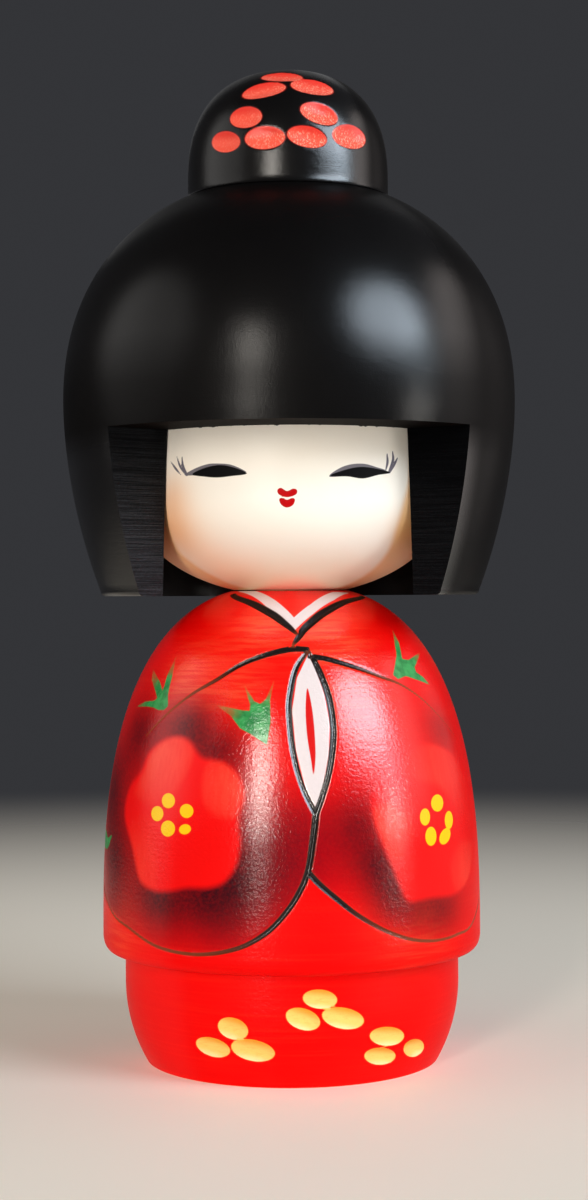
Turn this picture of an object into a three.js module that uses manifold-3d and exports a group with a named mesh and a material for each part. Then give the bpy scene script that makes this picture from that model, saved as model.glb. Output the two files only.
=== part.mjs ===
// A turned wooden doll of the kokeshi kind: a domed body in a painted jacket, and a head that turns on
// a neck dowel. The head is a face block glued up into the bore of a bobbed hair cap, with a bun on top.
// Millimetres, +Z up. The doll faces -Y, and the origin is on the table, under the doll's axis.
import * as THREE from "three";
import { mergeVertices } from "three/addons/utils/BufferGeometryUtils.js";
import Module from "manifold-3d";

const wasm = await Module();
wasm.setup();

// Clearances
const GLUE_LINE = 0.1; // between two flat faces that are glued together
const GLUED_FIT = 0.15; // round a dowel that is glued into its hole
const TURNING_FIT = 0.15; // round the neck dowel, and under the head, where the head turns
const FACE_FIT = 0.4; // round the face block in the hair cap's bore
const DOWEL_RELIEF = 0.5; // between a dowel's end and the bottom of its hole

// Body: a skirt that shows under the jacket, and the jacket, which rounds over into the shoulders
const HEM_RADIUS = 25.4;
const FOOT_INSET = 3.2; // how far the foot's edge lies inside the hem
const FOOT_ROUND_HEIGHT = 12; // from the foot up to where the skirt is upright
const SKIRT_HEIGHT = 16.9; // from the foot up to the underside of the jacket's lip
const JACKET_OVERHANG = 3.35; // how far the jacket stands out from the skirt
const LIP_HEIGHT = 2.2; // of the jacket's rounded lower edge
const LIP_DEPTH = 1.2; // how far in that edge rounds
const JACKET_HEIGHT = 51.9; // from the top of the lip up to the neck seat
const NECK_SEAT_RADIUS = 9; // the flat on top of the body
const SHOULDER_FULLNESS = 2.65; // superellipse power: 2 is an ellipse, more is squarer

// Face block: a bowl with an upright side, seen through the window in the hair
const FACE_RADIUS = 23.6;
const FACE_SEAT_RADIUS = 8.5; // the flat under the chin
const CHIN_HEIGHT = 13.25; // from that flat up to the face's widest ring
const FACE_SIDE_HEIGHT = 15.6; // from the widest ring up to the block's top
const FACE_TAPER = 0.5; // how much narrower the block's top is

// Hair cap: a bell with a bore from below and a window sawn out of its front by two radial cuts
const RIM_DROP = 0.85; // how far the rim hangs below the chin's flat
const RIM_THICKNESS = 4.4;
const BORE_DRAFT = 0.5; // how much wider the bore is at the rim than at its top
const HAIR_BULGE = 5.5; // how far the widest ring stands out from the rim
const HAIR_SIDE_HEIGHT = 29.2; // from the rim up to the widest ring
const HAIR_DOME_HEIGHT = 31.1; // from the widest ring up to the bun's seat
const RIM_CHAMFER = 0.8;
const SIDE_FULLNESS = 1.8;
const DOME_FULLNESS = 2.2;
const WINDOW_HEIGHT = 24.2; // from the rim up to the fringe
const WINDOW_HALF_ANGLE = 49; // degrees each side of the front

// Bun: a small dome with a nearly upright foot
const BUN_RADIUS = 15.3;
const BUN_SEAT_MARGIN = 0.4; // the flat on the hair cap that shows round the bun
const BUN_FOOT_HEIGHT = 2.8; // the upright part of the bun
const BUN_FOOT_CHAMFER = 0.6;
const BUN_DOME_HEIGHT = 16.5;
const BUN_FULLNESS = 2.45;

// Dowels
const NECK_DOWEL_RADIUS = 5;
const NECK_DOWEL_IN_BODY = 16;
const NECK_DOWEL_IN_FACE = 11;
const CROWN_DOWEL_RADIUS = 4;
const CROWN_DOWEL_IN_FACE = 8;
const CROWN_DOWEL_IN_HAIR = 8;
const BUN_DOWEL_RADIUS = 3;
const BUN_DOWEL_IN_HAIR = 9;
const BUN_DOWEL_IN_BUN = 9;
const DOWEL_CHAMFER = 0.6;

// Facets
const ROUND_SEGMENTS = 64; // round every large turned piece
const DOWEL_SEGMENTS = 24;
const CURVE_STEPS = 10; // along a dome
const EDGE_STEPS = 5; // along a short rounded edge
const WELD = 1e-4; // points closer than this are one point

// Heights above the table
const lipTop = SKIRT_HEIGHT + LIP_HEIGHT;
const bodyTop = lipTop + JACKET_HEIGHT;
const chin = bodyTop + TURNING_FIT;
const faceWidest = chin + CHIN_HEIGHT;
const faceTop = faceWidest + FACE_SIDE_HEIGHT;
const boreTop = faceTop + GLUE_LINE;
const rim = chin - RIM_DROP;
const fringe = rim + WINDOW_HEIGHT;
const hairWidest = rim + HAIR_SIDE_HEIGHT;
const bunSeat = hairWidest + HAIR_DOME_HEIGHT;
const bunFoot = bunSeat + GLUE_LINE;
const bunWidest = bunFoot + BUN_FOOT_HEIGHT;

// Radii that follow from the pieces inside
const jacketRadius = HEM_RADIUS + JACKET_OVERHANG;
const boreRadius = FACE_RADIUS + FACE_FIT;
const boreRimRadius = boreRadius + BORE_DRAFT;
const rimRadius = boreRimRadius + RIM_THICKNESS;
const hairRadius = rimRadius + HAIR_BULGE;
const bunSeatRadius = BUN_RADIUS + BUN_SEAT_MARGIN;

// Paints and woods
const redLacquer = new THREE.MeshStandardMaterial({ color: 0xd81410, roughness: 0.35, metalness: 0 });
const blackLacquer = new THREE.MeshStandardMaterial({ color: 0x101010, roughness: 0.35, metalness: 0 });
const ivoryPaint = new THREE.MeshStandardMaterial({ color: 0xf6ead8, roughness: 0.45, metalness: 0 });
const bareWood = new THREE.MeshStandardMaterial({ color: 0xd9b98a, roughness: 0.7, metalness: 0 });

// A quarter of a superellipse as [radius, rise] pairs, from (widest, 0) to (end, rise).
function swell(widest, end, rise, power, steps) {
  const last = Math.acos((end / widest) ** (power / 2));
  const pole = rise / Math.sin(last) ** (2 / power);
  return Array.from({ length: steps + 1 }, (_, i) => {
    const turn = (last * i) / steps;
    return [widest * Math.cos(turn) ** (2 / power), pole * Math.sin(turn) ** (2 / power)];
  });
}

// A closed solid turned about the Z axis. The outline is [radius, height] pairs that start and end on
// the axis, with the material on the left of the way they run.
function turned(outline, segments) {
  const points = outline.map(([radius, height]) => new THREE.Vector2(radius, height));
  return new THREE.LatheGeometry(points, segments).rotateX(Math.PI / 2);
}

// A geometry as a solid that can be cut, with its shared points merged and its collapsed faces dropped.
function toSolid(geometry) {
  const bare = geometry.clone();
  bare.deleteAttribute("normal");
  bare.deleteAttribute("uv");
  const merged = mergeVertices(bare, WELD);
  const corners = merged.index.array;
  const kept = [];
  for (let i = 0; i < corners.length; i += 3) {
    const [a, b, c] = corners.slice(i, i + 3);
    if (a !== b && b !== c && a !== c) {
      kept.push(a, b, c);
    }
  }
  return new wasm.Manifold(
    new wasm.Mesh({
      numProp: 3,
      vertProperties: merged.attributes.position.array,
      triVerts: Uint32Array.from(kept),
    }),
  );
}

// The solid back as a geometry.
function toGeometry(solid) {
  const mesh = solid.getMesh();
  return new THREE.BufferGeometry()
    .setAttribute("position", new THREE.BufferAttribute(mesh.vertProperties, 3))
    .setIndex(new THREE.BufferAttribute(mesh.triVerts, 1));
}

function piece(name, geometry, material) {
  const mesh = new THREE.Mesh(geometry, material);
  mesh.name = name;
  return mesh;
}

// Body: foot, skirt, jacket lip and shoulders, with the socket for the neck dowel
function kimonoBody() {
  const foot = swell(HEM_RADIUS, HEM_RADIUS - FOOT_INSET, FOOT_ROUND_HEIGHT, 2, EDGE_STEPS)
    .reverse()
    .map(([radius, rise]) => [radius, FOOT_ROUND_HEIGHT - rise]);
  const lip = Array.from({ length: EDGE_STEPS + 1 }, (_, i) => {
    const turn = (Math.PI / 2) * (i / EDGE_STEPS);
    return [jacketRadius - LIP_DEPTH * (1 - Math.sin(turn)), lipTop - LIP_HEIGHT * Math.cos(turn)];
  });
  const shoulders = swell(jacketRadius, NECK_SEAT_RADIUS, JACKET_HEIGHT, SHOULDER_FULLNESS, CURVE_STEPS)
    .slice(1)
    .map(([radius, rise]) => [radius, lipTop + rise]);
  const socket = NECK_DOWEL_RADIUS + TURNING_FIT;
  const socketFloor = bodyTop - NECK_DOWEL_IN_BODY - DOWEL_RELIEF;
  const outline = [
    [0, 0],
    ...foot,
    [HEM_RADIUS, SKIRT_HEIGHT],
    ...lip,
    ...shoulders,
    [socket, bodyTop],
    [socket, socketFloor],
    [0, socketFloor],
  ];
  return piece("kimono_body", turned(outline, ROUND_SEGMENTS), redLacquer);
}

// Face block, with the hole for the neck dowel below and the hole for the crown dowel above
function faceBlock() {
  const neckHole = NECK_DOWEL_RADIUS + GLUED_FIT;
  const neckHoleTop = chin + NECK_DOWEL_IN_FACE + DOWEL_RELIEF;
  const crownHole = CROWN_DOWEL_RADIUS + GLUED_FIT;
  const crownHoleFloor = faceTop - CROWN_DOWEL_IN_FACE - DOWEL_RELIEF;
  const bowl = swell(FACE_RADIUS, FACE_SEAT_RADIUS, CHIN_HEIGHT, 2, CURVE_STEPS)
    .reverse()
    .map(([radius, rise]) => [radius, faceWidest - rise]);
  const side = swell(FACE_RADIUS, FACE_RADIUS - FACE_TAPER, FACE_SIDE_HEIGHT, 2, EDGE_STEPS)
    .slice(1)
    .map(([radius, rise]) => [radius, faceWidest + rise]);
  const outline = [
    [0, neckHoleTop],
    [neckHole, neckHoleTop],
    [neckHole, chin],
    ...bowl,
    ...side,
    [crownHole, faceTop],
    [crownHole, crownHoleFloor],
    [0, crownHoleFloor],
  ];
  return piece("face_block", turned(outline, ROUND_SEGMENTS), ivoryPaint);
}

// Hair cap: turned with its bore and dowel holes, then sawn open at the front
function hairCap() {
  const crownHole = CROWN_DOWEL_RADIUS + GLUED_FIT;
  const crownHoleTop = boreTop + CROWN_DOWEL_IN_HAIR + DOWEL_RELIEF;
  const bunHole = BUN_DOWEL_RADIUS + GLUED_FIT;
  const bunHoleFloor = bunSeat - BUN_DOWEL_IN_HAIR - DOWEL_RELIEF;
  const side = swell(hairRadius, rimRadius, HAIR_SIDE_HEIGHT - RIM_CHAMFER, SIDE_FULLNESS, CURVE_STEPS)
    .reverse()
    .map(([radius, rise]) => [radius, hairWidest - rise]);
  const dome = swell(hairRadius, bunSeatRadius, HAIR_DOME_HEIGHT, DOME_FULLNESS, CURVE_STEPS)
    .slice(1)
    .map(([radius, rise]) => [radius, hairWidest + rise]);
  const outline = [
    [0, crownHoleTop],
    [crownHole, crownHoleTop],
    [crownHole, boreTop],
    [boreRadius, boreTop],
    [boreRimRadius, rim],
    [rimRadius - RIM_CHAMFER, rim],
    ...side,
    ...dome,
    [bunHole, bunSeat],
    [bunHole, bunHoleFloor],
    [0, bunHoleFloor],
  ];
  const bell = toSolid(turned(outline, ROUND_SEGMENTS));
  const solid = bell.subtract(toSolid(windowWedge()));
  return piece("hair_cap", toGeometry(solid), blackLacquer);
}

// The wedge between the two radial saw cuts, from below the rim up to the fringe
function windowWedge() {
  const halfAngle = THREE.MathUtils.degToRad(WINDOW_HALF_ANGLE);
  const reach = (2 * hairRadius) / Math.cos(halfAngle); // well past the hair
  const overcut = RIM_THICKNESS;
  const corner = [reach * Math.sin(halfAngle), -reach * Math.cos(halfAngle)];
  const sector = new THREE.Shape([
    new THREE.Vector2(0, 0),
    new THREE.Vector2(-corner[0], corner[1]),
    new THREE.Vector2(corner[0], corner[1]),
  ]);
  const depth = WINDOW_HEIGHT + overcut;
  const wedge = new THREE.ExtrudeGeometry(sector, { depth, bevelEnabled: false });
  return wedge.translate(0, 0, rim - overcut);
}

// Bun, with the hole for its dowel
function hairBun() {
  const hole = BUN_DOWEL_RADIUS + GLUED_FIT;
  const holeTop = bunFoot + BUN_DOWEL_IN_BUN + DOWEL_RELIEF;
  const dome = swell(BUN_RADIUS, 0, BUN_DOME_HEIGHT, BUN_FULLNESS, CURVE_STEPS)
    .map(([radius, rise]) => [radius, bunWidest + rise]);
  const outline = [
    [0, holeTop],
    [hole, holeTop],
    [hole, bunFoot],
    [BUN_RADIUS - BUN_FOOT_CHAMFER, bunFoot],
    [BUN_RADIUS, bunFoot + BUN_FOOT_CHAMFER],
    ...dome,
  ];
  return piece("hair_bun", turned(outline, ROUND_SEGMENTS), blackLacquer);
}

// A dowel with chamfered ends, standing on the axis
function dowel(name, radius, bottom, top) {
  const outline = [
    [0, bottom],
    [radius - DOWEL_CHAMFER, bottom],
    [radius, bottom + DOWEL_CHAMFER],
    [radius, top - DOWEL_CHAMFER],
    [radius - DOWEL_CHAMFER, top],
    [0, top],
  ];
  return piece(name, turned(outline, DOWEL_SEGMENTS), bareWood);
}

const head = new THREE.Group().add(
  faceBlock(),
  hairCap(),
  hairBun(),
  dowel("neck_dowel", NECK_DOWEL_RADIUS, bodyTop - NECK_DOWEL_IN_BODY, chin + NECK_DOWEL_IN_FACE),
  dowel("crown_dowel", CROWN_DOWEL_RADIUS, faceTop - CROWN_DOWEL_IN_FACE, boreTop + CROWN_DOWEL_IN_HAIR),
  dowel("bun_dowel", BUN_DOWEL_RADIUS, bunSeat - BUN_DOWEL_IN_HAIR, bunFoot + BUN_DOWEL_IN_BUN),
);

const doll = new THREE.Group().add(kimonoBody(), head);

export default doll;
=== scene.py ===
"""Looks of a turned wooden doll: a lacquered body, a painted face, and black bobbed hair with a bun."""
import math

import bpy
import numpy as np
from mathutils import Matrix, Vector
from mathutils.kdtree import KDTree


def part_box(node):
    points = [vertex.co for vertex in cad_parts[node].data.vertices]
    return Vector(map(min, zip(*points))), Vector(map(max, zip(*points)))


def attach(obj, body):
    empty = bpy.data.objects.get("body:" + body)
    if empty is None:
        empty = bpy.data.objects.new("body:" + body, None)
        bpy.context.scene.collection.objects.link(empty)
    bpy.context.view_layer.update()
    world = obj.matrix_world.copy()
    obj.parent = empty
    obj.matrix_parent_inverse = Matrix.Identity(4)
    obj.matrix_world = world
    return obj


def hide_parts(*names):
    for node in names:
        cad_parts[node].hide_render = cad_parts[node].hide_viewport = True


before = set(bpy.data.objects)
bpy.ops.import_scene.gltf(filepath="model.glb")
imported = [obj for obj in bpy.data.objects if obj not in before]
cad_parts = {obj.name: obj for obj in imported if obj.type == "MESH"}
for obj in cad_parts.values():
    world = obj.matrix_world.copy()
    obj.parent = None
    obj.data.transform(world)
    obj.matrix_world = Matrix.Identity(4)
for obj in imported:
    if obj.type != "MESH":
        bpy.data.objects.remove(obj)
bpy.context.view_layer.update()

MM = 0.001  # metres in a millimetre; sizes below are in millimetres


def turned_size(node):
    """Radius, lowest height and highest height of a turned node of the frame, in millimetres."""
    low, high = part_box(node)
    return high.x / MM, low.z / MM, high.z / MM


JACKET_RADIUS, _, BODY_TOP = turned_size("kimono_body")
FACE_RADIUS, CHIN, FACE_TOP = turned_size("face_block")
HAIR_RADIUS, RIM, BUN_SEAT = turned_size("hair_cap")
BUN_RADIUS, BUN_FOOT, BUN_TOP = turned_size("hair_bun")
NECK_RADIUS, NECK_BOTTOM, NECK_TOP = turned_size("neck_dowel")
CROWN_RADIUS, CROWN_BOTTOM, CROWN_TOP = turned_size("crown_dowel")
PEG_RADIUS, PEG_BOTTOM, PEG_TOP = turned_size("bun_dowel")
DOWEL_FIT = 0.15  # between a dowel and its hole, all round
DOWEL_RELIEF = 0.5  # between a dowel's end and its hole's

# Body
HEM_RADIUS = 25.4
FOOT_RADIUS = 22.2
FOOT_ROUND_HEIGHT = 12
SKIRT_HEIGHT = 16.9
LIP_TOP = 19.1
LIP_DEPTH = 1.2
NECK_SEAT_RADIUS = 9
SHOULDER_FULLNESS = 2.65

# Face
FACE_SEAT_RADIUS = 8.5
FACE_WIDEST = CHIN + 13.25
FACE_TAPER = 1.0

# Hair
BORE_RADIUS = FACE_RADIUS + 0.4
BORE_RIM_RADIUS = BORE_RADIUS + 0.5
RIM_RADIUS = BORE_RIM_RADIUS + 4.4
RIM_ROUND = 0.8
HAIR_WIDEST = RIM + 29.2
FRINGE = RIM + 24.2
WINDOW_HALF_ANGLE = math.radians(49)
SAW_LEAN = math.radians(2)  # how far the right cut leans in at the bore
BORE_NARROWS = 0.45  # by how much, from the face's widest ring up to the fringe
BORE_CLEAR = 0.1  # between the face's top and the bore's
BUN_SEAT_RADIUS = BUN_RADIUS + 0.4
SIDE_FULLNESS = 1.8
DOME_FULLNESS = 2.2

# Bun
BUN_FLARE = 0.38  # of the bun's foot, where it curves out on to its seat
BUN_FLARE_HEIGHT = 1.3
BUN_WIDEST = BUN_FOOT + 2.8
BUN_FULLNESS = 2.45

# Camera: the photograph is 588 by 1200 pixels, taken level from close by
IMAGE_CENTRE = np.array([294.0, 600.0])
IMAGE_HEIGHT = 1200
FOCAL_PIXELS = 2080
CAMERA_PLACE = np.array([0.6, -318.7, 69.9])
CAMERA_ROLL = math.radians(-0.3)
CAMERA_PITCH = math.radians(-0.055)
SENSOR = 36.0  # along the picture's longer side
NEAREST_SEEN = 10  # from the camera

# Steps between the points of a surface
SKIN_STEP = 0.33  # where it is carved or painted
FINE_STEP = 0.22  # where that is fine
SHOULDER_STEP = 0.29
FLARE_STEP = 0.12
PLAIN_STEP = 1.0
HIDDEN_STEP = 3.0
# Steps round a piece, in zones: (degrees from the front where the zone ends, step)
BODY_ZONES = [(13, 0.17), (33, FINE_STEP), (130, SKIN_STEP), (180, PLAIN_STEP)]
FACE_ZONES = [(62, FINE_STEP), (180, 1.6)]
BUN_ZONES = [(110, FINE_STEP), (180, 0.8)]
WINDOW_COLUMNS = 64  # of the hair's points, across the window
SIDE_COLUMNS = 158  # round the rest of the hair
SHARP = math.radians(50)  # edges bent by more are not shaded smooth
AWAY = 30.0  # a distance for points that a shape does not reach


def camera_turn():
    """The camera's rotation: it looks along +Y with +Z up, then pitches and rolls."""
    level = Matrix.Rotation(math.pi / 2, 3, "X")
    return level @ Matrix.Rotation(CAMERA_PITCH, 3, "X") @ Matrix.Rotation(CAMERA_ROLL, 3, "Z")


# Outlines of the turned pieces, as rows of (radius, height)


def swell(widest, middle, end, end_height, power):
    """Part of a superellipse, between its widest ring and its end above or below, lowest row first."""
    last = math.acos((end / widest) ** (power / 2))
    pole = (end_height - middle) / math.sin(last) ** (2 / power)
    turn = np.linspace(0, last, 400)
    rows = np.stack([widest * np.cos(turn) ** (2 / power), middle + pole * np.sin(turn) ** (2 / power)], 1)
    return rows if pole > 0 else rows[::-1]


def spaced(rows, step):
    """The same line with its points evenly spaced, about a step apart."""
    rows = np.asarray(rows, float)
    along = np.concatenate([[0], np.cumsum(np.linalg.norm(np.diff(rows, axis=0), axis=1))])
    count = max(2, int(math.ceil(along[-1] / step)) + 1)
    where = np.linspace(0, along[-1], count)
    return np.stack([np.interp(where, along, rows[:, k]) for k in range(rows.shape[1])], 1)


def hidden(*corners):
    """A line through corners, in the long steps of what does not show."""
    return joined(*[spaced(pair, HIDDEN_STEP) for pair in zip(corners, corners[1:])])


def joined(*stretches):
    """Stretches end to end, without the points where one starts on the last."""
    rows = [stretches[0]]
    for stretch in stretches[1:]:
        repeats = np.linalg.norm(stretch[0] - rows[-1][-1]) < 1e-9
        rows.append(stretch[1:] if repeats else stretch)
    return np.concatenate(rows)


def corner(centre, radius, start, end):
    """A round corner about a centre, from one angle to another, in degrees from the outward direction."""
    turn = np.radians(np.linspace(start, end, 8))
    return np.stack([centre[0] + radius * np.cos(turn), centre[1] + radius * np.sin(turn)], 1)


def round_angles(radius, zones):
    """Angles round the axis, 0 at the front, with the same zones on either side."""
    half = [np.zeros(1)]
    for degrees, step in zones:
        start, end = half[-1][-1], math.radians(degrees)
        count = math.ceil((end - start) * radius / step)
        half.append(np.linspace(start, end, count + 1)[1:])
    half = np.concatenate(half)
    return np.concatenate([-half[-2:0:-1], half])


def on_ring(radius, angle, height):
    """Points at an angle round the axis: 0 is the front, -Y, and a quarter turn is +X."""
    return np.stack(np.broadcast_arrays(radius * np.sin(angle), -radius * np.cos(angle), height), -1)


def ring_numbers(rings, count, start=0):
    """The numbers of the points of some rings, each ring closed by its first point."""
    numbers = start + np.arange(rings * count).reshape(rings, count)
    return np.concatenate([numbers, numbers[:, :1]], 1)


def strip(first, second):
    """Faces between two lines of point numbers."""
    return np.stack([first[:-1], first[1:], second[1:], second[:-1]], 1)


def strips(lines):
    """Faces between each line of point numbers and the next."""
    return np.concatenate([strip(*pair) for pair in zip(lines, lines[1:])])


def fan(tip, ring):
    """Faces between a tip and a closed ring of point numbers."""
    return [(tip, *pair) for pair in zip(ring[:-1].tolist(), ring[1:].tolist())]


def make_object(name, points, faces, materials):
    """A mesh object from points in millimetres, shaded smooth but for its sharp edges."""
    mesh = bpy.data.meshes.new(name)
    mesh.from_pydata((np.asarray(points) * MM).tolist(), [], faces)
    for material in materials:
        mesh.materials.append(material)
    mesh.shade_smooth()
    mesh.set_sharp_from_angle(angle=SHARP)
    piece = bpy.data.objects.new(name, mesh)
    bpy.context.scene.collection.objects.link(piece)
    return piece


def keep_field(piece, name, values):
    """Keeps a number at each point of a piece, for its material to read."""
    attribute = piece.data.attributes.new(name, "FLOAT", "POINT")
    attribute.data.foreach_set("value", np.asarray(values, np.float32))


def hand_over(piece, node, body):
    """Hides the frame's node that the piece stands in for, and makes the piece move with its body."""
    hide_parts(node)
    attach(piece, body)


class Turned:
    """A turned surface, with fields of numbers at its points that its material reads."""

    def __init__(self, outline, skin, angles):
        rows = np.asarray(outline)
        along = np.gradient(rows, axis=0)
        across = np.stack([along[:, 1], -along[:, 0]], 1)
        across /= np.linalg.norm(across, axis=1, keepdims=True)
        self.ends = rows[[0, -1], 1]
        self.rings, self.angles = len(rows) - 2, angles
        ring, angle = np.meshgrid(np.arange(1, len(rows) - 1), angles, indexing="ij")
        self.angle = angle.ravel()
        self.points = on_ring(rows[ring, 0], angle, rows[ring, 1]).reshape(-1, 3)
        self.normals = on_ring(across[ring, 0], angle, across[ring, 1]).reshape(-1, 3)
        self.skin_radii, self.skin_heights = np.asarray(skin).T
        self.fields = {}

    def radius_at(self, height):
        return np.interp(height, self.skin_heights, self.skin_radii)

    def lift(self, pixels):
        """The points of the skin that show at these pixels of the photograph."""
        pixels = np.asarray(pixels, float)[:, :2]
        flat = np.concatenate([(pixels - IMAGE_CENTRE) / FOCAL_PIXELS, -np.ones((len(pixels), 1))], 1)
        rays = (flat * [1, -1, 1]) @ np.array(camera_turn()).T
        in_front = -1.3 * HAIR_RADIUS
        reach = np.linspace(in_front, 0, 500) - CAMERA_PLACE[1]
        path = CAMERA_PLACE + rays[:, None, :] * reach[None, :, None]
        skin = np.interp(path[..., 2], self.skin_heights, self.skin_radii, left=0, right=0)
        inside = skin - np.hypot(path[..., 0], path[..., 1])
        hit = inside > 0
        first = np.where(hit.any(1), hit.argmax(1), inside.argmax(1)).clip(1)
        row = np.arange(len(pixels))
        before, after = inside[row, first - 1], inside[row, first]
        share = np.where(hit.any(1), before / np.where(before == after, 1, before - after), 1)
        point = path[row, first - 1] + (path[row, first] - path[row, first - 1]) * share[:, None]
        return self.laid(np.arctan2(point[:, 0], -point[:, 1]), point[:, 2])

    def laid(self, angle, height):
        """Points of the skin at these angles and heights."""
        return on_ring(self.radius_at(height), angle, height)

    def pixel_size(self, points):
        """How many millimetres one pixel of the photograph covers at these points."""
        return (points[:, 1] - CAMERA_PLACE[1]) / FOCAL_PIXELS

    def sink(self, depth):
        """Carves the surface along its own normals."""
        self.points = self.points - self.normals * depth[:, None]

    def build(self, name, material):
        rings = ring_numbers(self.rings, len(self.angles))
        tip = len(self.points)
        faces = strips(rings).tolist() + fan(tip, rings[0, ::-1]) + fan(tip + 1, rings[-1])
        points = np.concatenate([self.points, [[0, 0, self.ends[0]], [0, 0, self.ends[1]]]])
        piece = make_object(name, points, faces, [material])
        for field, values in self.fields.items():
            keep_field(piece, field, np.append(values, [AWAY, AWAY]))
        return piece


# Shapes drawn on a turned surface


def curve(rows, steps, closed=False):
    """A smooth line through rows of numbers, with some steps from each row to the next."""
    rows = np.asarray(rows, float)
    if closed:
        padded = np.concatenate([rows[-1:], rows, rows[:2]])
    else:
        padded = np.concatenate([2 * rows[:1] - rows[1:2], rows, 2 * rows[-1:] - rows[-2:-1]])
    t = np.linspace(0, 1, steps, endpoint=False)[:, None]
    parts = []
    for a, b, c, d in zip(padded, padded[1:], padded[2:], padded[3:]):
        parts.append(b + 0.5 * t * (c - a + t * (2 * a - 5 * b + 4 * c - d + t * (3 * (b - c) + d - a))))
    if not closed:
        parts.append(rows[-1:])
    return np.concatenate(parts)


def places(*lines):
    """The points of some lines one after another, without the lines' widths."""
    return [row[:2] for line in lines for row in line]


def stroke(surface, pixels, round_back=()):
    """A brush or gouge line: its points on the surface, and half its width at each, in millimetres.

    The rows are (x, y, width) in pixels, and behind the doll (degrees, height, width) in millimetres."""
    seen = np.asarray(pixels, float)
    points = surface.lift(seen)
    width = seen[:, 2] * surface.pixel_size(points)
    rows = np.stack([np.arctan2(points[:, 0], -points[:, 1]), points[:, 2], width], 1)
    if len(round_back):
        rows = np.concatenate([rows, np.asarray(round_back, float) * [math.pi / 180, 1, 1]])
    line = curve(rows, steps=60)
    return surface.laid(line[:, 0], line[:, 1]), line[:, 2] / 2


def nearest(surface, strokes):
    """For each point of a surface, the distance to the nearest stroke and half the stroke's width."""
    points = np.concatenate([points for points, _ in strokes])
    halves = np.concatenate([half for _, half in strokes])
    tree = KDTree(len(points))
    for i, point in enumerate(points):
        tree.insert(point, i)
    tree.balance()
    found = [tree.find(point)[1:] for point in surface.points]
    index, distance = np.array(found).T
    return distance, halves[index.astype(int)]


class Sheet:
    """A flat sheet laid on a surface, on which a small shape is drawn in millimetres."""

    def __init__(self, surface, anchors, margin=4.0):
        middle = anchors.mean(0)
        self.centre = surface.laid(math.atan2(middle[0], -middle[1]), middle[2])
        nearest_point = np.linalg.norm(surface.points - self.centre, axis=1).argmin()
        normal = surface.normals[nearest_point]
        self.across = np.cross([0, 0, 1], normal)
        self.across /= np.linalg.norm(self.across)
        self.up = np.cross(normal, self.across)
        away = surface.points - self.centre
        reach = np.linalg.norm(anchors - self.centre, axis=1).max() + margin
        self.near = np.where((np.linalg.norm(away, axis=1) < reach) & (surface.normals @ normal > 0))[0]
        self.spots = self.flat(surface.points[self.near])

    def flat(self, points):
        away = points - self.centre
        return np.stack([away @ self.across, away @ self.up], 1)


def filled(surface, outlines, smooth=True, margin=4.0):
    """Signed distance to the nearest of some filled outlines of pixels: below 0 is inside."""
    field = np.full(len(surface.points), AWAY)
    for outline in outlines:
        pixels = curve(outline, closed=True, steps=6) if smooth else np.asarray(outline, float)
        anchors = surface.lift(pixels)
        sheet = Sheet(surface, anchors, margin)
        distance = polygon_distance(sheet.spots, sheet.flat(anchors))
        field[sheet.near] = np.minimum(field[sheet.near], distance)
    return field


def polygon_distance(spots, polygon):
    """Signed distance from spots to a closed polygon: below 0 is inside."""
    least = np.full(len(spots), np.inf)
    inside = np.zeros(len(spots), bool)
    for a, b in zip(polygon, np.roll(polygon, -1, 0)):
        edge, away = b - a, spots - a
        share = np.clip((away @ edge) / max(edge @ edge, 1e-12), 0, 1)
        least = np.minimum(least, np.linalg.norm(away - share[:, None] * edge, axis=1))
        crosses = (a[1] > spots[:, 1]) != (b[1] > spots[:, 1])
        rise = edge[1] if edge[1] else 1
        inside ^= crosses & (spots[:, 0] < a[0] + (spots[:, 1] - a[1]) * edge[0] / rise)
    return np.where(inside, -least, least)


GOUGE_LEAN = 0.3  # how much deeper than its middle a gouge mark is at its right end


def ovals(surface, rows, depth=0):
    """Signed distance to the nearest of some ovals, the depth gouged out, and how high in it a point is.

    The rows are (x, y, width, height, tilt): pixels of the photograph, and degrees anticlockwise."""
    field = np.full(len(surface.points), AWAY)
    carved, rise = np.zeros((2, len(surface.points)))
    for x, y, width, height, tilt in rows:
        turn = math.radians(tilt)
        long = np.array([math.cos(turn), -math.sin(turn)]) * width / 2
        short = np.array([math.sin(turn), math.cos(turn)]) * height / 2
        spot = np.array([x, y])
        anchors = surface.lift([spot - long, spot + long, spot - short, spot + short])
        sheet = Sheet(surface, anchors)
        left, right, top, bottom = sheet.flat(anchors)
        axes = np.stack([(right - left) / 2, (top - bottom) / 2])
        middle = (left + right) / 2
        local = (sheet.spots - middle) @ np.linalg.inv(axes)
        ratio = np.linalg.norm(local, axis=1)
        size = np.linalg.norm(axes, axis=1).min()
        nearer = (ratio - 1) * size < field[sheet.near]
        rise[sheet.near[nearer]] = local[nearer, 1]
        field[sheet.near] = np.minimum(field[sheet.near], (ratio - 1) * size)
        bowl = np.clip(1 - ratio ** 2, 0, None) * (1 + GOUGE_LEAN * local[:, 0])
        carved[sheet.near] = np.maximum(carved[sheet.near], depth * bowl)
    return field, carved, rise


def puffs(surface, rows):
    """Sprayed paint from 0 to 1, from rows of (x, y, reach, strength) in pixels."""
    clear = np.ones(len(surface.points))
    centres = surface.lift(rows)
    for centre, size, (_, _, reach, strength) in zip(centres, surface.pixel_size(centres), rows):
        distance = np.linalg.norm(surface.points - centre, axis=1)
        clear *= 1 - strength * np.exp(-((distance / (reach * size)) ** 2))
    return 1 - clear


# Materials


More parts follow.
